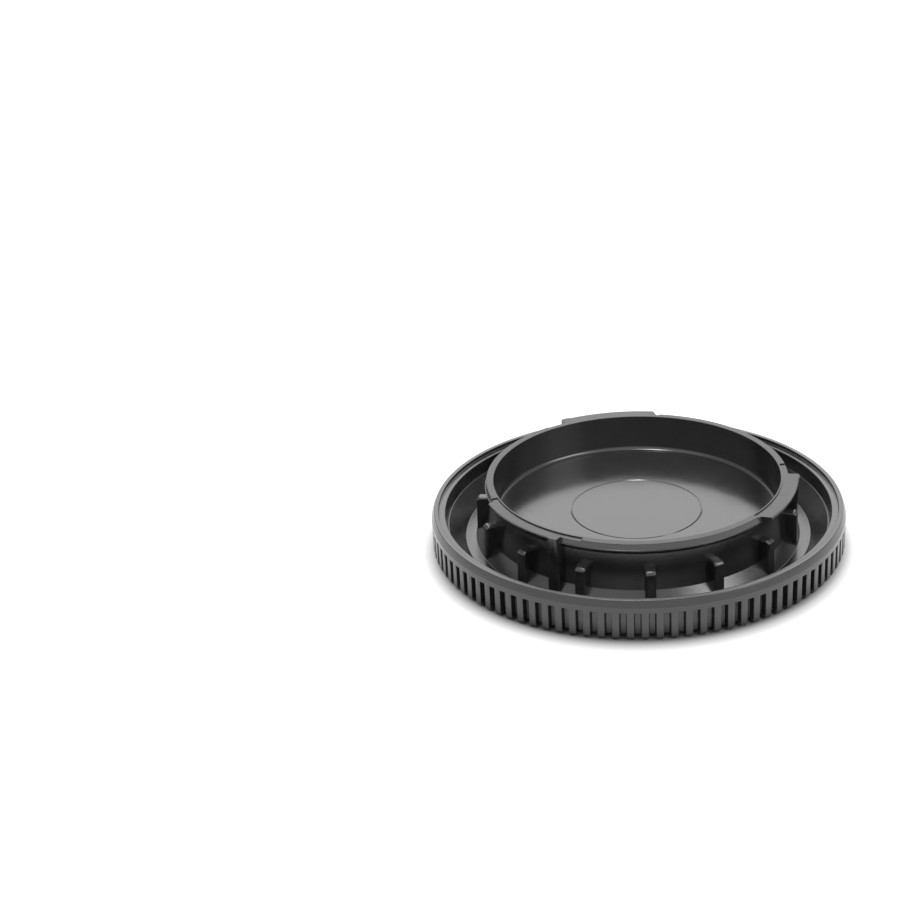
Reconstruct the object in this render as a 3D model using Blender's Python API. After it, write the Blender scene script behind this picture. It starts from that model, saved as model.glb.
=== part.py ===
"""Camera body cap: a moulded plastic cap that closes a camera's lens mount.

The cap lies on its outer face. Its axis is +Z, and the bayonet ring points up.
All sizes are in metres, and all angles are in degrees, counted from +X.
"""

import math

import bmesh
import bpy

# Bayonet ring, whose inner radius sets the place of everything around it
RING_INNER_RADIUS = 0.0207
RING_TOP_WIDTH = 0.00105
RING_RISE = 0.0042
LEAD_IN_HEIGHT = 0.00087
LEAD_IN_TAPER = 0.0001
LEAD_IN_STEP = 0.00012
BEAD_EDGE = 0.0002
BEAD_UNDERCUT = 0.00055
RING_WALL_DRAFT = 0.00048
CUP_DRAFT = 0.0001
CUP_CORNER_RADIUS = 0.0006

# Channel between the bayonet ring and the rim
FACE_WALL = 0.00125
INNER_SLOPE_HEIGHT = 0.00185
INNER_SLOPE_WIDTH = 0.00167
CHANNEL_FLOOR_WIDTH = 0.00153
OUTER_SLOPE_HEIGHT = 0.00225
OUTER_SLOPE_WIDTH = 0.0024
OUTER_STEP_WIDTH = 0.00012

# Rim
RIM_HEIGHT = 0.00585
RIM_WALL_DRAFT = 0.00038
LEDGE_WIDTH = 0.00095
LIP_STEP = 0.0005
LIP_WIDTH = 0.00065
SHOULDER_HEIGHT = 0.0010
SHOULDER_INSET = 0.0004
FOOT_CORNER_RADIUS = 0.0006

# Grip grooves around the rim
GROOVE_COUNT = 96
GROOVE_WIDTH = 0.0010
GROOVE_DEPTH = 0.00085
GROOVE_FACE_DEPTH = 0.0005
GROOVE_TOP_MARGIN = 0.0008
GROOVE_FACE_LENGTH = 0.0017

# Fine circle moulded into the cup's floor
CUP_MARK_RADIUS = 0.00946
CUP_MARK_SLOPE_WIDTH = 0.00017
CUP_MARK_EDGE_WIDTH = 0.00009
CUP_MARK_DEPTH = 0.0001

# Centre panel
PANEL_WALL = 0.00325
PANEL_RECESS = 0.00125
FACE_BAND_WIDTH = 0.0085
PANEL_RECESS_SLOPE = 0.0002

# Bayonet lugs, the first one narrower and longer so that the cap fits one way round
LUG_COUNT = 3
LUG_FIRST_ANGLE = -159.6
LUG_SPAN = 40.6
NARROW_LUG_SPAN = 42.4
LUG_SLANT = 2.6
LUG_PROJECTION = 0.0014
NARROW_LUG_PROJECTION = 0.0009
LUG_THICKNESS = 0.0016
LUG_EDGE_BEVEL = 0.00006
LUG_EDGE_HEIGHT = 0.00012
LUG_START_HEIGHT = 0.0004
LUG_START_SHARE = 0.6

# Stop column that rises from the channel at the far end of each lug
COLUMN_WIDTH = 0.0016
COLUMN_FOOT_WIDTH = 0.0023
COLUMN_FOOT_REACH = 0.00105
COLUMN_CORNER = 0.0004
COLUMN_PROJECTION = 0.00022

# Shallow seat cut into the ring's top around each lug
SEAT_LEAD = 0.4
SEAT_TAIL = 7.0
SEAT_DEPTH = 0.00015
SEAT_WALL = 0.00025

# Fins that stand between the ring and the channel
FIN_COUNT = 15
FIN_FIRST_ANGLE = 10.5
FIN_THICKNESS = 0.0015
FIN_REACH = 0.0016
FIN_DRAFT = 0.0001
FIN_CORNER_RADIUS = 0.0006
FIN_ABOVE_LIP = 0.0007

# Modelling allowances
TURNING_STEPS = GROOVE_COUNT
OVERLAP = 0.0004
CUT_MARGIN = 0.0010

# Values that follow from the sizes above
RING_TOP = RIM_HEIGHT + RING_RISE
RING_TOP_RADIUS = RING_INNER_RADIUS + RING_TOP_WIDTH
LEAD_IN_RADIUS = RING_TOP_RADIUS + LEAD_IN_TAPER
BEAD_RADIUS = LEAD_IN_RADIUS + LEAD_IN_STEP
BEAD_BOTTOM = RING_TOP - LEAD_IN_HEIGHT - BEAD_EDGE
RING_WALL_TOP = BEAD_BOTTOM - BEAD_UNDERCUT
RING_WALL_RADIUS = BEAD_RADIUS - BEAD_UNDERCUT
RING_FOOT_RADIUS = RING_WALL_RADIUS + RING_WALL_DRAFT
CHANNEL_OUTER_RADIUS = RING_FOOT_RADIUS + INNER_SLOPE_WIDTH + CHANNEL_FLOOR_WIDTH
RIM_FOOT_RADIUS = CHANNEL_OUTER_RADIUS + OUTER_SLOPE_WIDTH + OUTER_STEP_WIDTH
LEDGE_INNER_RADIUS = RIM_FOOT_RADIUS + RIM_WALL_DRAFT
LIP_INNER_RADIUS = LEDGE_INNER_RADIUS + LEDGE_WIDTH
LIP_OUTER_RADIUS = LIP_INNER_RADIUS + LIP_WIDTH
RIM_RADIUS = LIP_OUTER_RADIUS + SHOULDER_INSET
PANEL_RECESS_RADIUS = RIM_RADIUS - FACE_BAND_WIDTH
INNER_SLOPE_TOP = FACE_WALL + INNER_SLOPE_HEIGHT
OUTER_SLOPE_TOP = FACE_WALL + OUTER_SLOPE_HEIGHT
CUP_FLOOR = PANEL_RECESS + PANEL_WALL
CUP_WALL_RADIUS = RING_INNER_RADIUS - CUP_DRAFT
GROOVE_TOP = RIM_HEIGHT - SHOULDER_HEIGHT - GROOVE_TOP_MARGIN
SEAT_TOP = RING_TOP - SEAT_DEPTH
LUG_BOTTOM = SEAT_TOP - LUG_THICKNESS
ROOT_RADIUS = RING_WALL_RADIUS - OVERLAP
COLUMN_FOOT_RADIUS = RING_FOOT_RADIUS + COLUMN_FOOT_REACH
FIN_RADIUS = RING_FOOT_RADIUS + FIN_REACH
FIN_TOP = RIM_HEIGHT + FIN_ABOVE_LIP


def clear_scene():
    """Remove every object that the file opens with."""
    for item in list(bpy.data.objects):
        bpy.data.objects.remove(item, do_unlink=True)


def arc_points(centre, radius, start, end, steps):
    """Return points along an arc of the profile, both ends included."""
    points = []
    for step in range(steps + 1):
        angle = math.radians(start + (end - start) * step / steps)
        r = centre[0] + radius * math.cos(angle)
        z = centre[1] + radius * math.sin(angle)
        points.append((r, z))
    return points


def cap_profile():
    """Return the turned section, from the underside's centre round to the cup's centre."""
    corner_centre = (RIM_RADIUS - FOOT_CORNER_RADIUS, FOOT_CORNER_RADIUS)
    cup_corner_centre = (CUP_WALL_RADIUS - CUP_CORNER_RADIUS, CUP_FLOOR + CUP_CORNER_RADIUS)
    profile = [
        (0.0, PANEL_RECESS),
        (PANEL_RECESS_RADIUS, PANEL_RECESS),
        (PANEL_RECESS_RADIUS + PANEL_RECESS_SLOPE, 0.0),
    ]
    profile += arc_points(corner_centre, FOOT_CORNER_RADIUS, -90.0, 0.0, 3)
    profile += [
        (RIM_RADIUS, RIM_HEIGHT - SHOULDER_HEIGHT),
        (LIP_OUTER_RADIUS, RIM_HEIGHT),
        (LIP_INNER_RADIUS, RIM_HEIGHT),
        (LIP_INNER_RADIUS, RIM_HEIGHT - LIP_STEP),
        (LEDGE_INNER_RADIUS, RIM_HEIGHT - LIP_STEP),
        (RIM_FOOT_RADIUS, OUTER_SLOPE_TOP),
        (RIM_FOOT_RADIUS - OUTER_STEP_WIDTH, OUTER_SLOPE_TOP),
        (CHANNEL_OUTER_RADIUS, FACE_WALL),
        (RING_FOOT_RADIUS + INNER_SLOPE_WIDTH, FACE_WALL),
        (RING_FOOT_RADIUS, INNER_SLOPE_TOP),
        (RING_WALL_RADIUS, RING_WALL_TOP),
        (BEAD_RADIUS, BEAD_BOTTOM),
        (BEAD_RADIUS, RING_TOP - LEAD_IN_HEIGHT),
        (LEAD_IN_RADIUS, RING_TOP - LEAD_IN_HEIGHT),
        (RING_TOP_RADIUS, RING_TOP),
        (RING_INNER_RADIUS, RING_TOP),
    ]
    profile += arc_points(cup_corner_centre, CUP_CORNER_RADIUS, 0.0, -90.0, 3)
    profile += [
        (CUP_MARK_RADIUS + CUP_MARK_SLOPE_WIDTH, CUP_FLOOR),
        (CUP_MARK_RADIUS, CUP_FLOOR - CUP_MARK_DEPTH),
        (CUP_MARK_RADIUS - CUP_MARK_EDGE_WIDTH, CUP_FLOOR),
        (0.0, CUP_FLOOR),
    ]
    return profile


def finish_object(name, bm):
    """Turn a bmesh into a linked object with outward faces."""
    bmesh.ops.remove_doubles(bm, verts=bm.verts, dist=1e-7)
    bmesh.ops.recalc_face_normals(bm, faces=bm.faces)
    mesh = bpy.data.meshes.new(name)
    bm.to_mesh(mesh)
    bm.free()
    item = bpy.data.objects.new(name, mesh)
    bpy.context.scene.collection.objects.link(item)
    return item


def make_tool(item):
    """Mark an object as a modelling tool that isn't part of the model."""
    item.hide_render = True
    item.display_type = "WIRE"
    return item


def turned_body(name, profile):
    """Spin an open profile once around the axis."""
    bm = bmesh.new()
    verts = [bm.verts.new((r, 0.0, z)) for r, z in profile]
    edges = [bm.edges.new(pair) for pair in zip(verts, verts[1:])]
    bmesh.ops.spin(
        bm,
        geom=verts + edges,
        cent=(0.0, 0.0, 0.0),
        axis=(0.0, 0.0, 1.0),
        angle=math.tau,
        steps=TURNING_STEPS,
        use_merge=True,
    )
    return finish_object(name, bm)


def join_rings(bm, rings):
    """Join a row of matching vertex rings into one closed block."""
    count = len(rings[0])
    for near, far in zip(rings, rings[1:]):
        for i in range(count):
            j = (i + 1) % count
            bm.faces.new((near[i], near[j], far[j], far[i]))
    bm.faces.new(rings[0])
    bm.faces.new(rings[-1])


def add_arc_block(bm, section_at, start, span, slant=0.0):
    """Add a closed section swept around the axis through part of a turn.

    section_at gives the section for a share of the sweep from 0 to 1. Slant is the
    angle by which the ends close in from the section's inner radius to its outer one.
    """
    steps = max(2, round(span / 360.0 * TURNING_STEPS))
    rings = []
    for step in range(steps + 1):
        share = step / steps
        section = section_at(share)
        inner = min(r for r, z in section)
        outer = max(r for r, z in section)
        ring = []
        for r, z in section:
            closing = slant * (r - inner) / (outer - inner)
            angle = math.radians(start + closing + (span - 2.0 * closing) * share)
            ring.append(bm.verts.new((r * math.cos(angle), r * math.sin(angle), z)))
        rings.append(ring)
    join_rings(bm, rings)


def add_radial_block(bm, section, thickness, angle):
    """Add a section in the (radius, height) plane, extruded to a thickness across that plane."""
    turn = math.radians(angle)
    along = (math.cos(turn), math.sin(turn))
    across = (-math.sin(turn), math.cos(turn))
    sides = []
    for offset in (-thickness / 2.0, thickness / 2.0):
        side = []
        for r, z in section:
            x = r * along[0] + offset * across[0]
            y = r * along[1] + offset * across[1]
            side.append(bm.verts.new((x, y, z)))
        sides.append(side)
    join_rings(bm, sides)


def lug_start(index):
    """Return the angle where a lug starts."""
    return LUG_FIRST_ANGLE + index * 360.0 / LUG_COUNT


def lug_span(index):
    """Return the angle from a lug's start to its end."""
    return NARROW_LUG_SPAN if index == 0 else LUG_SPAN


def lug_radius(index):
    """Return the outer radius of a lug."""
    projection = NARROW_LUG_PROJECTION if index == 0 else LUG_PROJECTION
    return RING_TOP_RADIUS + projection


def lug_section(outer, share):
    """Return a lug's section: a wedge whose thin outer edge is taller near the lug's start."""
    rise = max(0.0, 1.0 - share / LUG_START_SHARE)
    edge = LUG_EDGE_HEIGHT + (LUG_START_HEIGHT - LUG_EDGE_HEIGHT) * rise
    return [
        (ROOT_RADIUS, LUG_BOTTOM),
        (RING_WALL_RADIUS, LUG_BOTTOM),
        (outer, SEAT_TOP - LUG_EDGE_BEVEL - edge),
        (outer, SEAT_TOP - LUG_EDGE_BEVEL),
        (outer - LUG_EDGE_BEVEL, SEAT_TOP),
        (outer - LUG_EDGE_BEVEL, SEAT_TOP + OVERLAP),
        (ROOT_RADIUS, SEAT_TOP + OVERLAP),
    ]


def lug_blocks():
    """Build the lugs, left a little tall so that the seat cut trims them."""
    bm = bmesh.new()
    for index in range(LUG_COUNT):
        outer = lug_radius(index)
        add_arc_block(
            bm,
            lambda share, outer=outer: lug_section(outer, share),
            lug_start(index),
            lug_span(index),
            LUG_SLANT,
        )
    return make_tool(finish_object("lug_blocks", bm))


def column_plan(reach, near, far):
    """Return a column's outline seen from above, as (radius, offset across) pairs."""
    near_corner = arc_points((reach - COLUMN_CORNER, near + COLUMN_CORNER), COLUMN_CORNER, -90.0, 0.0, 3)
    far_corner = arc_points((reach - COLUMN_CORNER, far - COLUMN_CORNER), COLUMN_CORNER, 0.0, 90.0, 3)
    return [(ROOT_RADIUS, near)] + near_corner + far_corner + [(ROOT_RADIUS, far)]


def column_blocks():
    """Build the stop columns, which taper up from the channel to a small nub on each lug."""
    near = -COLUMN_WIDTH / 2.0
    far = COLUMN_WIDTH / 2.0
    foot_far = near + COLUMN_FOOT_WIDTH
    bm = bmesh.new()
    for index in range(LUG_COUNT):
        reach = lug_radius(index) + COLUMN_PROJECTION
        inset = math.degrees(far / lug_radius(index))
        turn = math.radians(lug_start(index) + lug_span(index) - LUG_SLANT / 2.0 - inset)
        levels = [
            (FACE_WALL - OVERLAP, column_plan(COLUMN_FOOT_RADIUS, near, foot_far)),
            (SEAT_TOP + OVERLAP, column_plan(reach, near, far)),
        ]
        rings = []
        for z, plan in levels:
            ring = []
            for r, t in plan:
                x = r * math.cos(turn) - t * math.sin(turn)
                y = r * math.sin(turn) + t * math.cos(turn)
                ring.append(bm.verts.new((x, y, z)))
            rings.append(ring)
        join_rings(bm, rings)
    return make_tool(finish_object("column_blocks", bm))


def seat_cutters():
    """Build the cutters that lower the ring's top around each lug."""
    inner = RING_INNER_RADIUS + SEAT_WALL
    outer = RING_TOP_RADIUS + LUG_PROJECTION + COLUMN_PROJECTION + CUT_MARGIN
    section = [
        (inner, SEAT_TOP),
        (outer, SEAT_TOP),
        (outer, RING_TOP + CUT_MARGIN),
        (inner, RING_TOP + CUT_MARGIN),
    ]
    bm = bmesh.new()
    for index in range(LUG_COUNT):
        span = SEAT_LEAD + lug_span(index) + SEAT_TAIL
        add_arc_block(bm, lambda share: section, lug_start(index) - SEAT_LEAD, span)
    return make_tool(finish_object("seat_cutters", bm))


def fin_blocks():
    """Build the fins, set into the ring's wall and into the channel's floor."""
    corner_centre = (FIN_RADIUS - FIN_DRAFT - FIN_CORNER_RADIUS, FIN_TOP - FIN_CORNER_RADIUS)
    section = [(ROOT_RADIUS, FACE_WALL - OVERLAP), (FIN_RADIUS, FACE_WALL - OVERLAP)]
    section += arc_points(corner_centre, FIN_CORNER_RADIUS, 0.0, 90.0, 3)
    section.append((ROOT_RADIUS, FIN_TOP))
    bm = bmesh.new()
    for index in range(FIN_COUNT):
        angle = FIN_FIRST_ANGLE + index * 360.0 / FIN_COUNT
        add_radial_block(bm, section, FIN_THICKNESS, angle)
    return make_tool(finish_object("fin_blocks", bm))


def groove_cutters():
    """Build the cutters for the grip grooves, which turn the foot's corner onto the face."""
    outer = RIM_RADIUS + CUT_MARGIN
    section = [
        (RIM_RADIUS - GROOVE_FACE_LENGTH, -CUT_MARGIN),
        (outer, -CUT_MARGIN),
        (outer, GROOVE_TOP),
        (RIM_RADIUS - GROOVE_DEPTH, GROOVE_TOP),
        (RIM_RADIUS - GROOVE_DEPTH, GROOVE_FACE_DEPTH),
        (RIM_RADIUS - GROOVE_FACE_LENGTH, GROOVE_FACE_DEPTH),
    ]
    bm = bmesh.new()
    for index in range(GROOVE_COUNT):
        add_radial_block(bm, section, GROOVE_WIDTH, index * 360.0 / GROOVE_COUNT)
    return make_tool(finish_object("groove_cutters", bm))


def add_boolean(item, tool, operation):
    """Add one exact Boolean step to an object."""
    step = item.modifiers.new(tool.name, "BOOLEAN")
    step.operation = operation
    step.solver = "EXACT"
    step.object = tool


def black_plastic():
    """Return the cap's moulded black plastic."""
    material = bpy.data.materials.new("black_plastic")
    material.use_nodes = True
    shader = material.node_tree.nodes["Principled BSDF"]
    shader.inputs["Base Color"].default_value = (0.022, 0.022, 0.023, 1.0)
    shader.inputs["Roughness"].default_value = 0.38
    shader.inputs["Metallic"].default_value = 0.0
    return material


def main():
    """Build the body cap."""
    clear_scene()
    cap = turned_body("body_cap", cap_profile())
    add_boolean(cap, column_blocks(), "UNION")
    add_boolean(cap, fin_blocks(), "UNION")
    add_boolean(cap, lug_blocks(), "UNION")
    add_boolean(cap, seat_cutters(), "DIFFERENCE")
    add_boolean(cap, groove_cutters(), "DIFFERENCE")
    cap.data.materials.append(black_plastic())
    cap.data.shade_smooth()
    cap.data.set_sharp_from_angle(angle=math.radians(30.0))


main()
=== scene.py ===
"""Camera body cap in black moulded plastic, dressed for a product photograph.

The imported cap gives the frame. A finer skin of the same shape stands for it, with real
rounding on its edges, and four finishes of the same black plastic cover the skin.
Sizes of the skin are in millimetres. The stage, the lights and the camera are in metres.
"""

import logging
import math
from dataclasses import dataclass, field
from enum import Enum
from typing import Callable

import bmesh
import bpy
from mathutils import Matrix, Vector


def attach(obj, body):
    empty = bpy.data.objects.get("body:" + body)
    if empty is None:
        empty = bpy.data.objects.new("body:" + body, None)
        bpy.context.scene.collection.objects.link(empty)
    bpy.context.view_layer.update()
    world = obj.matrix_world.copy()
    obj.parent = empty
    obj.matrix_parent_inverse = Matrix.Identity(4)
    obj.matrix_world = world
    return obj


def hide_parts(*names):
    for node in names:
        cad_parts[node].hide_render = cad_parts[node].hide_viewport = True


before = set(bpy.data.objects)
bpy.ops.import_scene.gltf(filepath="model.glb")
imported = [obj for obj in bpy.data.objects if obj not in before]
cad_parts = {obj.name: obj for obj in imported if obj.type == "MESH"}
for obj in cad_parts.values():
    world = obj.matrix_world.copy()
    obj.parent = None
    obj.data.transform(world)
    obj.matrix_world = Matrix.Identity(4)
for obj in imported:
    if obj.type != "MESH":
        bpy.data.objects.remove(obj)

LOG = logging.getLogger("body_cap")

MM = 0.001
CAP_NODE = "body_cap"
CAP_BODY = "root"

Point = tuple[float, float]
Span = tuple[float, float]
Section = list[Point]
Ring = list[bmesh.types.BMVert]
Place = tuple[float, float, float]
Colour = tuple[float, float, float]
CardRow = tuple[float, float, float]
Socket = bpy.types.NodeSocket
Tree = bpy.types.NodeTree


class Finish(Enum):
    """The finishes of the black plastic: three from the mould, and one rubbed dull by use."""

    SATIN = 0
    POLISHED = 1
    GRAINED = 2
    RUBBED = 3


class Operation(Enum):
    """How one closed body changes another."""

    JOIN = "UNION"
    CUT = "DIFFERENCE"


@dataclass(frozen=True)
class Corner:
    """A corner of a turned section, with the radius that rounds it off."""

    radius: float
    height: float
    rounding: float = 0.0


def arc(centre: Point, radius: float, start: float, end: float, steps: int) -> Section:
    """Return points along an arc.

    Args:
        centre: Centre of the arc.
        radius: Radius of the arc.
        start: Angle of the first point, in degrees.
        end: Angle of the last point, in degrees.
        steps: Number of parts that the arc is divided into.

    Returns:
        The points, both ends included.
    """
    points = []
    for step in range(steps + 1):
        angle = math.radians(start + (end - start) * step / steps)
        points.append((centre[0] + radius * math.cos(angle), centre[1] + radius * math.sin(angle)))
    return points


def round_off(corners: list[Corner], steps: int = 4) -> Section:
    """Turn a row of corners into a section with rounded corners.

    Args:
        corners: The corners in order along the section.
        steps: Number of parts in each rounded corner.

    Returns:
        The points of the section.
    """
    points: Section = []
    for index, corner in enumerate(corners):
        here = Vector((corner.radius, corner.height))
        if corner.rounding == 0.0 or index in (0, len(corners) - 1):
            points.append((here.x, here.y))
            continue
        before = Vector((corners[index - 1].radius, corners[index - 1].height)) - here
        after = Vector((corners[index + 1].radius, corners[index + 1].height)) - here
        half = before.angle(after) / 2.0
        reach = corner.rounding / math.tan(half)
        near = here + before.normalized() * reach
        middle = (before.normalized() + after.normalized()).normalized()
        centre = here + middle * corner.rounding / math.sin(half)
        spoke = near - centre
        turn = math.pi - 2.0 * half
        if before.cross(after) > 0.0:
            turn = -turn
        for step in range(steps + 1):
            point = centre + Matrix.Rotation(turn * step / steps, 2) @ spoke
            points.append((point.x, point.y))
    return points


class Skin:
    """A mesh that is put together from rings of vertices."""

    def __init__(self) -> None:
        """Start an empty mesh."""
        self.mesh = bmesh.new()

    def ring(self, places: list[tuple[float, float, float]]) -> Ring:
        """Add one ring.

        Args:
            places: Radius, angle in radians and height of each vertex.

        Returns:
            The new vertices.
        """
        return [
            self.mesh.verts.new((r * math.cos(a) * MM, r * math.sin(a) * MM, z * MM))
            for r, a, z in places
        ]

    def bridge(self, near: Ring, far: Ring) -> None:
        """Join two rings that have the same number of vertices."""
        count = len(near)
        for i in range(count):
            j = (i + 1) % count
            self.mesh.faces.new((near[i], near[j], far[j], far[i]))

    def fan(self, ring: Ring, height: float) -> None:
        """Close a ring with triangles that meet on the axis."""
        centre = self.mesh.verts.new((0.0, 0.0, height * MM))
        count = len(ring)
        for i in range(count):
            self.mesh.faces.new((ring[i], ring[(i + 1) % count], centre))

    def cap(self, ring: Ring) -> None:
        """Close a ring with one face."""
        self.mesh.faces.new(ring)

    def thin_out(self, fine: Ring, coarse: Ring, picks: list[int], pitch: int) -> None:
        """Join a fine ring to a coarser one on a flat face.

        Args:
            fine: The ring with more vertices.
            coarse: The ring with fewer vertices.
            picks: Which vertices of one pitch of the fine ring meet the coarse ring.
            pitch: Number of fine vertices in one pitch.
        """
        stops = [turn + pick for turn in range(0, len(fine), pitch) for pick in picks]
        count = len(stops)
        for i in range(count):
            start = stops[i]
            end = stops[(i + 1) % count]
            if end <= start:
                end += len(fine)
            span = [fine[k % len(fine)] for k in range(start, end + 1)]
            self.mesh.faces.new(span + [coarse[(i + 1) % count], coarse[i]])

    def finish(self, name: str) -> bpy.types.Object:
        """Make the object.

        Args:
            name: Name of the object.

        Returns:
            The linked object, with its faces turned outward.
        """
        bmesh.ops.recalc_face_normals(self.mesh, faces=self.mesh.faces)
        data = bpy.data.meshes.new(name)
        self.mesh.to_mesh(data)
        self.mesh.free()
        item = bpy.data.objects.new(name, data)
        bpy.context.scene.collection.objects.link(item)
        return item


@dataclass
class GripRim:
    """The rim's outer side, with its rounded foot and the grip grooves that turn onto the face."""

    radius: float = 30.0
    face_start: float = 27.7
    foot_rounding: float = 0.6
    shoulder_height: float = 4.85
    lip_outer: float = 29.6
    lip_end: float = 29.3
    height: float = 5.85
    groove_count: int = 96
    groove_width: float = 1.0
    groove_top: float = 4.05
    groove_face_end: float = 28.3
    groove_depth: float = 0.85
    groove_face_depth: float = 0.5
    groove_corner: float = 0.12
    corner_steps: int = 7
    wall_middle: float = 2.4
    wall_end: float = 4.25
    shoulder_rounding: float = 0.16
    lip_rounding: float = 0.12
    wall: tuple[Point, ...] = (
        (-0.06, 0.0),
        (-0.01, 0.02),
        (0.03, 0.09),
        (0.10, 0.90),
        (0.145, 0.975),
        (0.22, 1.0),
    )
    picks: list[int] = field(default_factory=lambda: [0, 5, 7, 9])

    @property
    def pitch(self) -> float:
        """Angle between two grooves, in radians."""
        return math.tau / self.groove_count

    @property
    def columns(self) -> int:
        """Number of vertices in one pitch."""
        return 2 * len(self.wall) + 2

    def offsets(self) -> list[tuple[float, float, float]]:
        """Return each column of one pitch.

        Returns:
            Share of the pitch that the column hangs on, its distance across from there, and
            its distance inside the groove's edge.
        """
        half = self.groove_width / 2.0
        inner = [(0.0, half - inset, inset) for inset, _ in reversed(self.wall)]
        outer = [(1.0, inset - half, inset) for inset, _ in self.wall]
        return [(0.0, 0.0, half)] + inner + [(0.5, 0.0, -half)] + outer

    def depth(self, inset: float) -> float:
        """Return the share of the groove's depth at a distance inside its edge."""
        for (near, low), (far, high) in zip(self.wall, self.wall[1:]):
            if inset < near:
                return low
            if inset <= far:
                return low + (high - low) * (inset - near) / (far - near)
        return self.wall[-1][1]

    def rows(self) -> list[tuple[Point, Point, float]]:
        """Return the rows of the rim's side.

        Returns:
            Place of each row on the rim, its place on the groove's floor, and its distance
            inside the groove's ends.
        """
        deep = self.groove_width
        floor = self.radius - self.groove_depth
        rows = [((self.face_start, 0.0), (self.face_start, 0.0), -deep)]
        for inset, _ in self.wall:
            r = self.groove_face_end + inset
            rows.append(((r, 0.0), (r, self.groove_face_depth), inset))
        foot_centre = (self.radius - self.foot_rounding, self.foot_rounding)
        foot = arc(foot_centre, self.foot_rounding, -90.0, 0.0, self.corner_steps)
        corner_centre = (floor - self.groove_corner, self.groove_face_depth + self.groove_corner)
        corner = arc(corner_centre, self.groove_corner, -90.0, 0.0, self.corner_steps)
        rows += [(place, below, deep) for place, below in zip(foot, corner)]
        rows.append(((self.radius, self.wall_middle), (floor, self.wall_middle), deep))
        for inset, _ in reversed(self.wall):
            z = self.groove_top - inset
            rows.append(((self.radius, z), (floor, z), inset))
        shoulder = round_off(
            [
                Corner(self.radius, self.wall_end),
                Corner(self.radius, self.shoulder_height, self.shoulder_rounding),
                Corner(self.lip_outer, self.height, self.lip_rounding),
                Corner(self.lip_end, self.height),
            ]
        )
        return rows + [(place, place, -deep) for place in shoulder]

    def add_to(self, skin: Skin) -> tuple[Ring, Ring]:
        """Build the rim's side.

        Args:
            skin: The mesh that it goes into.

        Returns:
            Its first ring, on the outer face, and its last ring, on the lip.
        """
        rings = []
        for place, below, end_inset in self.rows():
            places = []
            for turn in range(self.groove_count):
                for share, across, side_inset in self.offsets():
                    depth = self.depth(min(side_inset, end_inset))
                    r = place[0] + (below[0] - place[0]) * depth
                    z = place[1] + (below[1] - place[1]) * depth
                    places.append((r, (turn + share) * self.pitch + across / r, z))
            rings.append(skin.ring(places))
        for near, far in zip(rings, rings[1:]):
            skin.bridge(near, far)
        return rings[0], rings[-1]


@dataclass
class TurnedCap:
    """The turned body: outer face, rim, channel, bayonet ring and cup in one skin."""

    rim: GripRim = field(default_factory=GripRim)
    per_groove: int = 4
    outer_face: list[Corner] = field(
        default_factory=lambda: [
            Corner(10.0, 1.25),
            Corner(21.5, 1.25, 0.25),
            Corner(21.7, 0.0, 0.15),
            Corner(27.4, 0.0),
        ]
    )
    channel: list[Corner] = field(
        default_factory=lambda: [
            Corner(29.2, 5.85),
            Corner(28.95, 5.85, 0.09),
            Corner(28.95, 5.35, 0.12),
            Corner(28.0, 5.35, 0.14),
            Corner(27.62, 3.50, 0.04),
            Corner(27.50, 3.50, 0.04),
            Corner(25.1, 1.25, 0.15),
            Corner(23.57, 1.25, 0.15),
            Corner(21.90, 3.10, 0.25),
            Corner(21.42, 8.43, 0.1),
            Corner(21.97, 8.98, 0.05),
            Corner(21.97, 9.18, 0.05),
            Corner(21.85, 9.18, 0.04),
            Corner(21.75, 10.05, 0.07),
            Corner(20.70, 10.05, 0.07),
            Corner(20.60, 4.50, 0.60),
            Corner(9.63, 4.50, 0.04),
            Corner(9.46, 4.40, 0.02),
            Corner(9.37, 4.50, 0.03),
            Corner(4.0, 4.50),
        ]
    )

    def plain_ring(self, skin: Skin, point: Point) -> Ring:
        """Add one evenly divided ring."""
        count = self.rim.groove_count * self.per_groove
        return skin.ring([(point[0], math.tau * i / count, point[1]) for i in range(count)])

    def build(self) -> bpy.types.Object:
        """Build the turned body.

        Returns:
            The closed object.
        """
        skin = Skin()
        low, high = self.rim.add_to(skin)
        face = [self.plain_ring(skin, point) for point in round_off(self.outer_face)]
        inside = [self.plain_ring(skin, point) for point in round_off(self.channel)]
        for rings in (face, inside):
            for near, far in zip(rings, rings[1:]):
                skin.bridge(near, far)
        skin.fan(face[0], self.outer_face[0].height)
        skin.fan(inside[-1], self.channel[-1].height)
        skin.thin_out(low, face[-1], self.rim.picks, self.rim.columns)
        skin.thin_out(high, inside[0], self.rim.picks, self.rim.columns)
        return skin.finish("turned_cap")


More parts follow.
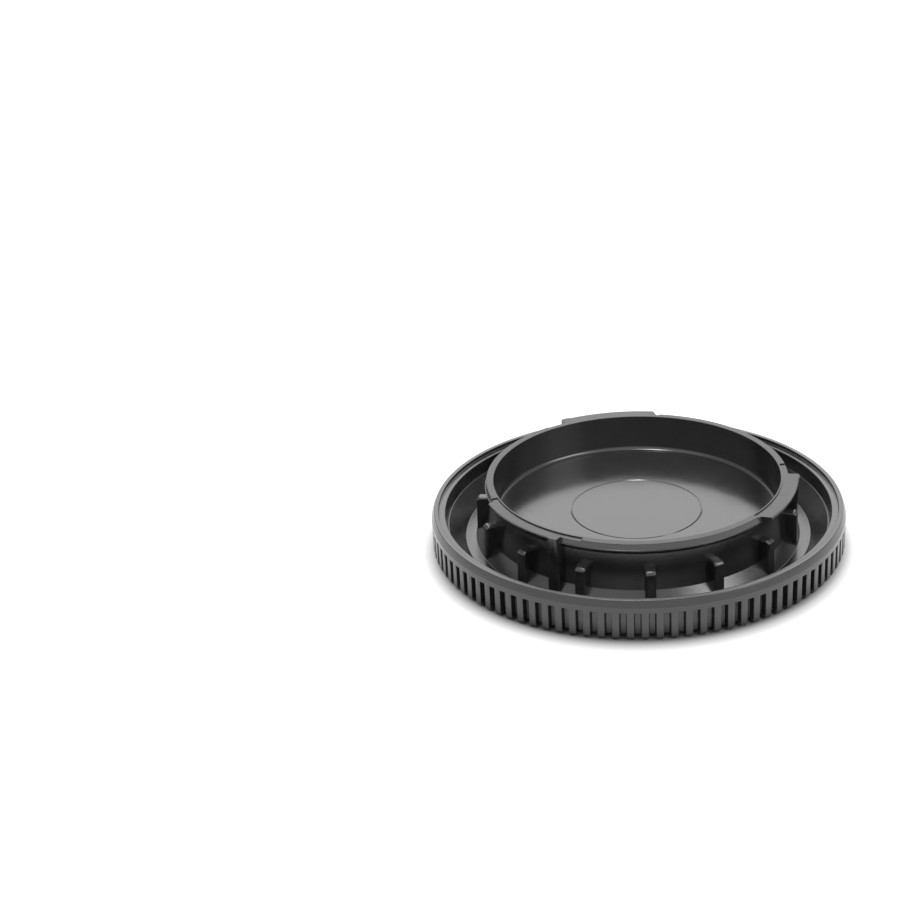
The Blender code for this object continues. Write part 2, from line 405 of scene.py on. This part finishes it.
@dataclass
class BayonetLugs:
    """The three lugs on the ring, their stop columns, and the seats cut into the ring's top."""

    count: int = 3
    first_angle: float = -159.6
    spans: tuple[float, ...] = (42.4, 40.6, 40.6)
    slant: float = 2.6
    root: float = 21.0
    wall: float = 21.42
    ring_edge: float = 21.75
    projections: tuple[float, ...] = (0.9, 1.4, 1.4)
    top: float = 9.9
    thickness: float = 1.6
    edge_rounding: float = 0.06
    edge_steps: int = 3
    edge_height: float = 0.12
    start_height: float = 0.4
    start_share: float = 0.6
    column_width: float = 1.6
    column_foot_width: float = 2.3
    column_foot: float = 22.95
    column_corner: float = 0.4
    column_corner_steps: int = 4
    column_projection: float = 0.22
    column_bottom: float = 0.85
    seat_inner: float = 20.95
    seat_reach: float = 1.5
    seat_rise: float = 1.0
    seat_lead: float = 0.4
    seat_tail: float = 7.0
    overlap: float = 0.4
    step: float = 0.8

    def outer(self, index: int) -> float:
        """Return a lug's outer radius."""
        return self.ring_edge + self.projections[index]

    def start(self, index: int) -> float:
        """Return the angle where a lug starts, in degrees."""
        return self.first_angle + index * 360.0 / self.count

    def section(self, outer: float, share: float) -> Section:
        """Return a lug's section at a share of its span.

        Args:
            outer: The lug's outer radius.
            share: Place along the lug, from 0 at its start to 1.

        Returns:
            A wedge, whose edge is taller near the start.
        """
        rise = max(0.0, 1.0 - share / self.start_share)
        edge = self.edge_height + (self.start_height - self.edge_height) * rise
        rounding = self.edge_rounding
        centre = (outer - rounding, self.top - rounding)
        top_edge = arc(centre, rounding, 0.0, 90.0, self.edge_steps)
        return [
            (self.root, self.top - self.thickness),
            (self.wall, self.top - self.thickness),
            (outer - rounding, self.top - rounding - edge - rounding),
            (outer, self.top - rounding - edge),
            *top_edge,
            (outer - rounding, self.top + self.overlap),
            (self.root, self.top + self.overlap),
        ]

    def sweep(
        self,
        skin: Skin,
        section_at: Callable[[float], Section],
        start: float,
        span: float,
        slant: float = 0.0,
    ) -> None:
        """Sweep a section round the axis through part of a turn.

        Args:
            skin: The mesh that it goes into.
            section_at: Gives the section for a share of the sweep.
            start: Angle of the first section, in degrees.
            span: Angle from the first section to the last, in degrees.
            slant: Angle by which the ends close in from the inner radius to the outer one.
        """
        steps = max(2, round(span / self.step))
        rings = []
        for step in range(steps + 1):
            share = step / steps
            section = section_at(share)
            inner = min(r for r, _ in section)
            outer = max(r for r, _ in section)
            places = []
            for r, z in section:
                closing = slant * (r - inner) / (outer - inner)
                angle = start + closing + (span - 2.0 * closing) * share
                places.append((r, math.radians(angle), z))
            rings.append(skin.ring(places))
        for near, far in zip(rings, rings[1:]):
            skin.bridge(near, far)
        skin.cap(rings[0])
        skin.cap(rings[-1])

    def lugs(self) -> bpy.types.Object:
        """Build the lugs."""
        skin = Skin()
        for index in range(self.count):
            outer = self.outer(index)
            self.sweep(
                skin,
                lambda share, outer=outer: self.section(outer, share),
                self.start(index),
                self.spans[index],
                self.slant,
            )
        return skin.finish("lugs")

    def plan(self, reach: float, near: float, far: float, inset: float) -> Section:
        """Return a column's outline seen from above.

        Args:
            reach: The column's outer radius.
            near: Its side towards the lug, as a distance across.
            far: Its other side.
            inset: How far the outline is pulled in.

        Returns:
            Radius and distance across of each point.
        """
        reach = reach - inset
        near = near + inset
        far = far - inset
        corner = self.column_corner
        steps = self.column_corner_steps
        near_arc = arc((reach - corner, near + corner), corner, -90.0, 0.0, steps)
        far_arc = arc((reach - corner, far - corner), corner, 0.0, 90.0, steps)
        return [(self.root, near)] + near_arc + far_arc + [(self.root, far)]

    def columns(self) -> bpy.types.Object:
        """Build the stop columns, which taper up to a nub on each lug."""
        near = -self.column_width / 2.0
        far = self.column_width / 2.0
        foot_far = near + self.column_foot_width
        rounding = self.edge_rounding
        skin = Skin()
        for index in range(self.count):
            reach = self.outer(index) + self.column_projection
            inset = math.degrees(far / self.outer(index))
            turn = math.radians(self.start(index) + self.spans[index] - self.slant / 2.0 - inset)
            levels = [(self.column_bottom, self.plan(self.column_foot, near, foot_far, 0.0))]
            for back, rise in arc((0.0, 0.0), rounding, 0.0, 90.0, self.edge_steps):
                pull = rounding - back
                levels.append((self.top - rounding + rise, self.plan(reach, near, far, pull)))
            levels.append((self.top + self.overlap, self.plan(reach, near, far, rounding)))
            rings = []
            for z, outline in levels:
                places = [(math.hypot(r, t), turn + math.atan2(t, r), z) for r, t in outline]
                rings.append(skin.ring(places))
            for low, high in zip(rings, rings[1:]):
                skin.bridge(low, high)
            skin.cap(rings[0])
            skin.cap(rings[-1])
        return skin.finish("columns")

    def seats(self) -> bpy.types.Object:
        """Build the cutters that lower the ring's top around each lug."""
        outer = max(self.outer(index) for index in range(self.count)) + self.seat_reach
        section = [
            (self.seat_inner, self.top),
            (outer, self.top),
            (outer, self.top + self.seat_rise),
            (self.seat_inner, self.top + self.seat_rise),
        ]
        skin = Skin()
        for index in range(self.count):
            span = self.seat_lead + self.spans[index] + self.seat_tail
            self.sweep(skin, lambda share: section, self.start(index) - self.seat_lead, span)
        return skin.finish("seats")


@dataclass
class SupportFins:
    """The fins that stand round the ring, with rounded tops and ends."""

    count: int = 15
    first_angle: float = 10.5
    thickness: float = 1.5
    root: float = 21.0
    reach: float = 23.5
    draft: float = 0.1
    bottom: float = 0.85
    top: float = 6.55
    corner: float = 0.6
    corner_steps: int = 8
    edge_rounding: float = 0.3
    edge_steps: int = 5

    def section(self, pull: float) -> Section:
        """Return a fin's side view, pulled in from its top and its outer end.

        Args:
            pull: How far the top and the end are pulled in.

        Returns:
            Radius and height of each point.
        """
        centre = (self.reach - self.draft - self.corner, self.top - self.corner)
        end = arc(centre, self.corner - pull, 0.0, 90.0, self.corner_steps)
        foot = [(self.root, self.bottom), (self.reach - pull, self.bottom)]
        return foot + end + [(self.root, self.top - pull)]

    def build(self) -> bpy.types.Object:
        """Build the fins.

        Returns:
            One object with a closed body for each fin.
        """
        flat = self.thickness / 2.0 - self.edge_rounding
        edge = arc((flat, 0.0), self.edge_rounding, 0.0, 90.0, self.edge_steps)
        slices = [(across, self.edge_rounding - rise) for across, rise in edge]
        slices += [(-across, pull) for across, pull in reversed(slices)]
        skin = Skin()
        for index in range(self.count):
            turn = math.radians(self.first_angle + index * 360.0 / self.count)
            rings = []
            for across, pull in slices:
                rings.append(
                    skin.ring(
                        [
                            (math.hypot(r, across), turn + math.atan2(across, r), z)
                            for r, z in self.section(pull)
                        ]
                    )
                )
            for near, far in zip(rings, rings[1:]):
                skin.bridge(near, far)
            skin.cap(rings[0])
            skin.cap(rings[-1])
        return skin.finish("fins")


def combine(item: bpy.types.Object, tool: bpy.types.Object, operation: Operation) -> None:
    """Join a closed body to another, or cut it out.

    Args:
        item: The body that changes.
        tool: The other body, which is removed afterwards.
        operation: Whether to join or to cut.
    """
    step = item.modifiers.new(tool.name, "BOOLEAN")
    step.operation = operation.value
    step.solver = "EXACT"
    step.object = tool
    graph = bpy.context.evaluated_depsgraph_get()
    data = bpy.data.meshes.new_from_object(item.evaluated_get(graph))
    item.modifiers.clear()
    item.data = data
    bpy.data.objects.remove(tool, do_unlink=True)


def compute(tree: Tree, operation: str, first: Socket | float, second: Socket) -> Socket:
    """Add a node that works out one value from two.

    Args:
        tree: The node tree.
        operation: Name of the node's operation.
        first: The first value, as an output or a number.
        second: The second value.

    Returns:
        The result.
    """
    node = tree.nodes.new("ShaderNodeMath")
    node.operation = operation
    if isinstance(first, float):
        node.inputs[0].default_value = first
    else:
        tree.links.new(first, node.inputs[0])
    tree.links.new(second, node.inputs[1])
    return node.outputs[0]


def mix_colours(tree: Tree, share: Socket, low: Colour, high: Colour) -> Socket:
    """Mix two colours.

    Args:
        tree: The node tree.
        share: Share of the second colour.
        low: The first colour.
        high: The second colour.

    Returns:
        The mixed colour.
    """
    mix = tree.nodes.new("ShaderNodeMix")
    mix.data_type = "RGBA"
    colours = [socket for socket in mix.inputs if socket.type == "RGBA"]
    colours[0].default_value = (*low, 1.0)
    colours[1].default_value = (*high, 1.0)
    tree.links.new(share, mix.inputs["Factor"])
    return [socket for socket in mix.outputs if socket.type == "RGBA"][0]


@dataclass(frozen=True)
class PlasticFinish:
    """A finish of the black plastic, made of noise at three scales."""

    name: str
    colour: Colour
    pale_colour: Colour
    roughness_low: float
    roughness_high: float
    grain_per_mm: float
    grain_height: float
    grain_detail: float = 3.0
    grain_roughness: float = 0.03
    mottle_per_mm: float = 0.35
    mottle_detail: float = 4.0
    slow_per_mm: float = 0.12
    slow_detail: float = 1.0
    slow_height: float = 0.02
    layer_roughness: float = 0.55
    noise_range: Span = (0.3, 0.7)
    cloud_range: Span = (0.35, 0.75)
    cloud_cover: float = 0.18
    specks_per_mm: float = 0.45
    speck_size: float = 0.03
    speck_cover: float = 0.6
    wear: float = 0.35
    wear_reach: float = 0.08
    wear_range: Span = (0.0, 0.12)
    ior: float = 1.72

    def material(self) -> bpy.types.Material:
        """Build the finish.

        Returns:
            The material.
        """
        material = bpy.data.materials.new(self.name)
        material.use_nodes = True
        tree = material.node_tree
        shader = tree.nodes["Principled BSDF"]
        shader.inputs["IOR"].default_value = self.ior
        place = self.place(tree)
        grain = self.noise(tree, place, self.grain_per_mm, self.grain_detail)
        mottle = self.noise(tree, place, self.mottle_per_mm, self.mottle_detail)
        self.roughen(tree, shader, grain, mottle)
        self.tint(tree, shader, place, mottle)
        self.raise_grain(tree, shader, place, grain)
        return material

    def place(self, tree: Tree) -> Socket:
        """Return the place on the cap in millimetres."""
        coordinates = tree.nodes.new("ShaderNodeTexCoord")
        scale = tree.nodes.new("ShaderNodeVectorMath")
        scale.operation = "SCALE"
        scale.inputs["Scale"].default_value = 1.0 / MM
        tree.links.new(coordinates.outputs["Object"], scale.inputs[0])
        return scale.outputs[0]

    def noise(self, tree: Tree, place: Socket, per_mm: float, detail: float) -> Socket:
        """Add a noise texture.

        Args:
            tree: The material's node tree.
            place: Place in millimetres.
            per_mm: Number of bumps in a millimetre.
            detail: Number of finer layers.

        Returns:
            The noise from 0 to 1.
        """
        node = tree.nodes.new("ShaderNodeTexNoise")
        node.inputs["Scale"].default_value = per_mm
        node.inputs["Detail"].default_value = detail
        node.inputs["Roughness"].default_value = self.layer_roughness
        tree.links.new(place, node.inputs["Vector"])
        return node.outputs["Fac"]

    def remap(self, tree: Tree, value: Socket, source: Span, target: Span) -> Socket:
        """Move a value from one range to another.

        Args:
            tree: The material's node tree.
            value: The value.
            source: Range that it comes from.
            target: Range that it goes to.

        Returns:
            The moved value, kept inside the target range.
        """
        node = tree.nodes.new("ShaderNodeMapRange")
        node.clamp = True
        node.inputs["From Min"].default_value = source[0]
        node.inputs["From Max"].default_value = source[1]
        node.inputs["To Min"].default_value = target[0]
        node.inputs["To Max"].default_value = target[1]
        tree.links.new(value, node.inputs["Value"])
        return node.outputs["Result"]

    def sharpness(self, tree: Tree) -> Socket:
        """Return how far the surface near a point turns away from it, which is 0 on a flat face."""
        geometry = tree.nodes.new("ShaderNodeNewGeometry")
        softened = tree.nodes.new("ShaderNodeBevel")
        softened.inputs["Radius"].default_value = self.wear_reach * MM
        likeness = tree.nodes.new("ShaderNodeVectorMath")
        likeness.operation = "DOT_PRODUCT"
        tree.links.new(geometry.outputs["Normal"], likeness.inputs[0])
        tree.links.new(softened.outputs["Normal"], likeness.inputs[1])
        return compute(tree, "SUBTRACT", 1.0, likeness.outputs["Value"])

    def roughen(self, tree: Tree, shader: bpy.types.Node, grain: Socket, mottle: Socket) -> None:
        """Vary the roughness with the grain and with broad cloudy patches.

        Args:
            tree: The material's node tree.
            shader: The surface shader.
            grain: The fine noise.
            mottle: The broad noise.
        """
        cloudy = (self.roughness_low, self.roughness_high)
        grainy = (-self.grain_roughness, self.grain_roughness)
        broad = self.remap(tree, mottle, self.noise_range, cloudy)
        fine = self.remap(tree, grain, self.noise_range, grainy)
        tree.links.new(compute(tree, "ADD", broad, fine), shader.inputs["Roughness"])

    def tint(self, tree: Tree, shader: bpy.types.Node, place: Socket, mottle: Socket) -> None:
        """Colour the plastic, with paler rubbed edges and a few specks of dust.

        Args:
            tree: The material's node tree.
            shader: The surface shader.
            place: Place in millimetres.
            mottle: The broad noise.
        """
        edge = self.remap(tree, self.sharpness(tree), self.wear_range, (0.0, self.wear))
        specks = tree.nodes.new("ShaderNodeTexVoronoi")
        specks.inputs["Scale"].default_value = self.specks_per_mm
        tree.links.new(place, specks.inputs["Vector"])
        distance = specks.outputs["Distance"]
        dust = self.remap(tree, distance, (self.speck_size, 0.0), (0.0, self.speck_cover))
        paler = self.remap(tree, mottle, self.cloud_range, (0.0, self.cloud_cover))
        for extra in (edge, dust):
            paler = compute(tree, "MAXIMUM", paler, extra)
        result = mix_colours(tree, paler, self.colour, self.pale_colour)
        tree.links.new(result, shader.inputs["Base Color"])

    def raise_grain(
        self, tree: Tree, shader: bpy.types.Node, place: Socket, grain: Socket
    ) -> None:
        """Raise the fine grain and a slow unevenness from the surface.

        Args:
            tree: The material's node tree.
            shader: The surface shader.
            place: Place in millimetres.
            grain: The fine noise.
        """
        slow = self.noise(tree, place, self.slow_per_mm, self.slow_detail)
        broad = tree.nodes.new("ShaderNodeBump")
        broad.inputs["Distance"].default_value = self.slow_height * MM
        broad.inputs["Strength"].default_value = 1.0
        tree.links.new(slow, broad.inputs["Height"])
        fine = tree.nodes.new("ShaderNodeBump")
        fine.inputs["Distance"].default_value = self.grain_height * MM
        fine.inputs["Strength"].default_value = 1.0
        tree.links.new(grain, fine.inputs["Height"])
        tree.links.new(broad.outputs["Normal"], fine.inputs["Normal"])
        tree.links.new(fine.outputs["Normal"], shader.inputs["Normal"])


SATIN = PlasticFinish(
    name="satin_black_plastic",
    colour=(0.018, 0.018, 0.0185),
    pale_colour=(0.055, 0.055, 0.056),
    roughness_low=0.15,
    roughness_high=0.22,
    grain_per_mm=7.0,
    grain_height=0.018,
)
POLISHED = PlasticFinish(
    name="polished_plastic_with_painted_light",
    # Painted light: this colour is paler than the satin's, which lifts the cup's floor and the foot
    # of its wall.
    colour=(0.028, 0.028, 0.0285),
    pale_colour=(0.060, 0.060, 0.061),
    roughness_low=0.15,
    roughness_high=0.20,
    grain_per_mm=5.0,
    grain_height=0.0008,
)
GRAINED = PlasticFinish(
    name="grained_black_plastic",
    colour=(0.022, 0.022, 0.0225),
    pale_colour=(0.060, 0.060, 0.061),
    roughness_low=0.45,
    roughness_high=0.55,
    grain_per_mm=5.0,
    grain_height=0.05,
)
RUBBED = PlasticFinish(
    name="rubbed_black_plastic",
    colour=(0.018, 0.018, 0.0185),
    pale_colour=(0.055, 0.055, 0.056),
    roughness_low=0.26,
    roughness_high=0.34,
    grain_per_mm=6.0,
    grain_height=0.010,
    ior=1.55,
)


@dataclass
class BodyCap:
    """The whole cap, moulded in one piece, with the places where its finishes meet."""

    name: str = "cap_skin"
    cup_radius: float = 20.75
    cup_floor_top: float = 5.3
    panel_radius: float = 21.45
    panel_height: float = 1.3
    rubbed_height: float = 9.85
    sharp_angle: float = 38.0
    level_from: float = 0.9999

    def region(self, place: Vector) -> Finish:
        """Return the finish of a face from the place of its middle."""
        radius = math.hypot(place.x, place.y) / MM
        height = place.z / MM
        if radius < self.panel_radius and height < self.panel_height:
            return Finish.GRAINED
        if radius < self.cup_radius and height < self.cup_floor_top:
            return Finish.POLISHED
        if height > self.rubbed_height:
            return Finish.RUBBED
        return Finish.SATIN

    def build(self) -> bpy.types.Object:
        """Build and dress the cap.

        Returns:
            The cap's one visible piece.
        """
        cap = TurnedCap().build()
        lugs = BayonetLugs()
        for part in (lugs.columns(), SupportFins().build(), lugs.lugs()):
            combine(cap, part, Operation.JOIN)
        combine(cap, lugs.seats(), Operation.CUT)
        cap.name = self.name
        cap.data.name = self.name
        cap.data.materials.clear()
        for finish in (SATIN, POLISHED, GRAINED, RUBBED):
            cap.data.materials.append(finish.material())
        cap.data.shade_smooth()
        cap.data.set_sharp_from_angle(angle=math.radians(self.sharp_angle))
        for face in cap.data.polygons:
            face.material_index = self.region(face.center).value
            face.use_smooth = abs(face.normal.z) < self.level_from
        shading = cap.modifiers.new("flat_face_shading", "WEIGHTED_NORMAL")
        shading.keep_sharp = True
        return cap


@dataclass(frozen=True)
class SoftBox:
    """A soft box that faces the cap: its place, its width and height, and its power in watts."""

    name: str
    place: Place
    size: Span
    power: float

    def build(self) -> bpy.types.Object:
        """Hang the soft box.

        Returns:
            The lamp, hidden from the camera.
        """
        data = bpy.data.lights.new(self.name, "AREA")
        data.shape = "RECTANGLE"
        data.size = self.size[0]
        data.size_y = self.size[1]
        data.energy = self.power
        lamp = bpy.data.objects.new(self.name, data)
        lamp.location = self.place
        lamp.rotation_euler = Vector(self.place).to_track_quat("Z", "Y").to_euler()
        lamp.visible_camera = False
        bpy.context.scene.collection.objects.link(lamp)
        return lamp


@dataclass
class Studio:
    """A white table and backdrop, a dark card behind the cap, and the soft boxes that light it."""

    table_size: float = 6.0
    table_drop: float = 0.00003
    table_roughness: float = 0.6
    table_colour: Colour = (0.92, 0.92, 0.92)
    # Painted shadow: the darker colour that the camera and reflections see on the table, and the
    # ring round the cap, shifted towards the front, outside which the table glows white.
    painted_shadow_colour: Colour = (0.30, 0.30, 0.30)
    painted_shadow_shift: Place = (0.0, 0.0014, 0.0)
    painted_shadow_start: float = 0.0286
    painted_shadow_end: float = 0.0321
    fill_strength: float = 0.3
    card_radius: float = 1.6
    card_outline: tuple[CardRow, ...] = (
        (27.0, 0.0, 12.0),
        (40.0, 3.0, 26.0),
        (57.0, 16.0, 40.0),
        (75.0, 30.0, 52.0),
        (100.0, 40.0, 62.0),
    )
    card_steps: int = 6
    card_colour: Colour = (0.2, 0.2, 0.2)
    card_roughness: float = 0.9
    soft_boxes: tuple[SoftBox, ...] = (
        SoftBox("back_soft_box", (0.0, 1.25, 0.80), (1.5, 1.1), 6.0),
        SoftBox("overhead_soft_box", (-0.08, 0.05, 1.0), (0.5, 0.10), 3.5),
        SoftBox("right_soft_box", (0.694, -0.324, 0.643), (0.5, 0.5), 3.1),
    )

    def table(self) -> bpy.types.Object:
        """Build the table top.

        Returns:
            The object.
        """
        half = self.table_size / 2.0
        data = bpy.data.meshes.new("table_top")
        corners = [(-half, -half, 0.0), (half, -half, 0.0), (half, half, 0.0), (-half, half, 0.0)]
        data.from_pydata(corners, [], [(0, 1, 2, 3)])
        top = bpy.data.objects.new("table_top", data)
        top.location.z = -self.table_drop
        bpy.context.scene.collection.objects.link(top)
        data.materials.append(self.table_material())
        return top

    def seen(self, tree: Tree) -> Socket:
        """Return 1 for a ray from the camera, a reflection or a view through glass, and else 0."""
        path = tree.nodes.new("ShaderNodeLightPath")
        result = path.outputs["Is Camera Ray"]
        for name in ("Is Glossy Ray", "Is Transmission Ray"):
            result = compute(tree, "MAXIMUM", result, path.outputs[name])
        return result

    def table_material(self) -> bpy.types.Material:
        """Return the table's matt white, which glows pure white outside a painted shadow round the
        cap.
        """
        material = bpy.data.materials.new("white_table_painted_shadow")
        material.use_nodes = True
        tree = material.node_tree
        shader = tree.nodes["Principled BSDF"]
        shader.inputs["Roughness"].default_value = self.table_roughness
        shader.inputs["Emission Color"].default_value = (1.0, 1.0, 1.0, 1.0)
        seen = self.seen(tree)
        # Painted shadow: the camera and reflections see the darker colour, while the lamps light
        # the table's white.
        result = mix_colours(tree, seen, self.table_colour, self.painted_shadow_colour)
        tree.links.new(result, shader.inputs["Base Color"])
        coordinates = tree.nodes.new("ShaderNodeTexCoord")
        shift = tree.nodes.new("ShaderNodeVectorMath")
        shift.operation = "ADD"
        shift.inputs[1].default_value = self.painted_shadow_shift
        tree.links.new(coordinates.outputs["Object"], shift.inputs[0])
        distance = tree.nodes.new("ShaderNodeVectorMath")
        distance.operation = "LENGTH"
        tree.links.new(shift.outputs[0], distance.inputs[0])
        # Painted shadow: the white glow fades out inside a ring round the cap, shifted towards the
        # front, so that the darker colour shows there.
        white = tree.nodes.new("ShaderNodeMapRange")
        white.inputs["From Min"].default_value = self.painted_shadow_start
        white.inputs["From Max"].default_value = self.painted_shadow_end
        tree.links.new(distance.outputs["Value"], white.inputs["Value"])
        shown = compute(tree, "MULTIPLY", white.outputs["Result"], seen)
        tree.links.new(shown, shader.inputs["Emission Strength"])
        return material

    def backdrop(self) -> None:
        """Make the world white where the camera or a reflection sees it, and dimmer as a light."""
        world = bpy.data.worlds.new("white_backdrop")
        world.use_nodes = True
        tree = world.node_tree
        background = tree.nodes["Background"]
        background.inputs["Color"].default_value = (1.0, 1.0, 1.0, 1.0)
        strength = tree.nodes.new("ShaderNodeMapRange")
        strength.inputs["To Min"].default_value = self.fill_strength
        strength.inputs["To Max"].default_value = 1.0
        tree.links.new(self.seen(tree), strength.inputs["Value"])
        tree.links.new(strength.outputs["Result"], background.inputs["Strength"])
        bpy.context.scene.world = world

    def dark_card(self) -> bpy.types.Object:
        """Hang a curved card behind the cap, which rises at its ends and darkens the inner slopes.

        The outline's rows hold a heading off the back, and the heights of the card's lower
        and upper edge there, all in degrees. The card is the same on both sides.

        Returns:
            The object, hidden from the camera.
        """
        outline = [(-heading, low, high) for heading, low, high in reversed(self.card_outline)]
        outline += self.card_outline
        rows = [
            Vector(near).lerp(Vector(far), step / self.card_steps)
            for near, far in zip(outline, outline[1:])
            for step in range(self.card_steps)
        ]
        corners: list[Place] = []
        for row in rows + [Vector(outline[-1])]:
            heading, low, high = (math.radians(value) for value in row)
            x = self.card_radius * math.sin(heading)
            y = self.card_radius * math.cos(heading)
            corners += [(x, y, self.card_radius * math.tan(edge)) for edge in (low, high)]
        faces = [(i, i + 1, i + 3, i + 2) for i in range(0, len(corners) - 2, 2)]
        data = bpy.data.meshes.new("dark_card")
        data.from_pydata(corners, [], faces)
        card = bpy.data.objects.new("dark_card", data)
        card.visible_camera = False
        bpy.context.scene.collection.objects.link(card)
        material = bpy.data.materials.new("grey_card")
        material.use_nodes = True
        shader = material.node_tree.nodes["Principled BSDF"]
        shader.inputs["Base Color"].default_value = (*self.card_colour, 1.0)
        shader.inputs["Roughness"].default_value = self.card_roughness
        data.materials.append(material)
        return card

    def build(self) -> None:
        """Set the stage and hang the lights."""
        self.table()
        self.backdrop()
        self.dark_card()
        for soft_box in self.soft_boxes:
            soft_box.build()


@dataclass
class PhotoCamera:
    """The camera, fitted to the photograph's view of the cap."""

    place: Place = (0.0, -0.236722, 0.123944)
    right: Place = (0.9946395, 0.0873679, -0.0553094)
    up: Place = (0.0134023, 0.4214523, 0.9067515)
    back: Place = (0.1025312, -0.9026321, 0.4180222)
    lens: float = 72.0
    sensor: float = 36.0
    near_clip: float = 0.01

    def build(self) -> bpy.types.Object:
        """Place the camera and make it the scene's own.

        Returns:
            The camera.
        """
        data = bpy.data.cameras.new("photo_camera")
        data.lens = self.lens
        data.sensor_width = self.sensor
        data.sensor_fit = "HORIZONTAL"
        data.clip_start = self.near_clip
        camera = bpy.data.objects.new("photo_camera", data)
        turn = Matrix((self.right, self.up, self.back)).transposed().to_4x4()
        camera.matrix_world = Matrix.Translation(self.place) @ turn
        bpy.context.scene.collection.objects.link(camera)
        bpy.context.scene.camera = camera
        return camera


def main() -> None:
    """Build the cap, its stage and the camera."""
    logging.basicConfig(level=logging.INFO, format="%(name)s: %(message)s")
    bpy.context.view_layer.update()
    bpy.context.scene.view_settings.view_transform = "Standard"
    PhotoCamera().build()
    Studio().build()
    cap = BodyCap().build()
    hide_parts(CAP_NODE)
    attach(cap, CAP_BODY)
    LOG.info("%s: %d faces on body %s", cap.name, len(cap.data.polygons), CAP_BODY)


if __name__ == "__main__":
    main()
